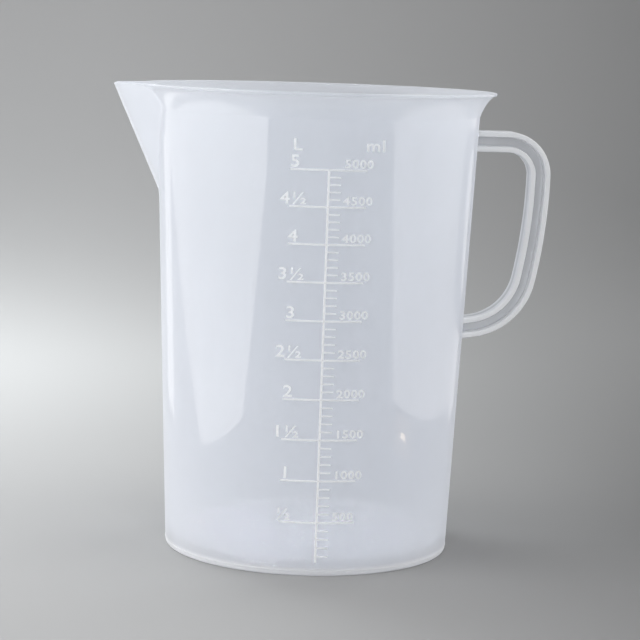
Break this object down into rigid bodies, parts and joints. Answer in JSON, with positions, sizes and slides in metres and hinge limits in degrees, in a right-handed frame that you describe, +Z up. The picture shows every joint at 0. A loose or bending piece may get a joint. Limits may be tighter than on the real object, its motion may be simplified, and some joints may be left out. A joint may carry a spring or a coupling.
{
  "type": "plastic measuring jug",
  "caption": "Tall tapered translucent plastic measuring beaker with pouring spout, flared rim, loop handle and raised volume scale.",
  "frame": {"origin": "on the vessel's axis, in the plane of the surface that the foot ring stands on", "axes": "+Z up along the vessel's axis; -X towards the spout, +X towards the handle; the scale faces -Y"},
  "size_m": [0.2539, 0.2044, 0.2677],
  "materials": {
    "vessel": "natural polypropylene, milky and translucent, smooth and glossy",
    "handle": "the same natural polypropylene in a solid I-section, milkier",
    "scale": "raised marks and figures of the same polypropylene, not printed"
  },
  "bodies": {
    "root": {"body_wall": "vessel", "base_floor": "vessel", "foot_ring": "vessel", "gate_stub": "vessel", "flared_rim": "vessel", "pouring_spout": "vessel", "handle_outer_flange": "handle", "handle_inner_flange": "handle", "handle_web": "handle", "scale_5000_ml": "scale", "scale_4500_ml": "scale", "scale_4000_ml": "scale", "scale_3500_ml": "scale", "scale_3000_ml": "scale", "scale_2500_ml": "scale", "scale_2000_ml": "scale", "scale_1500_ml": "scale", "scale_1000_ml": "scale", "scale_500_ml": "scale"}
  },
  "joints": []
}
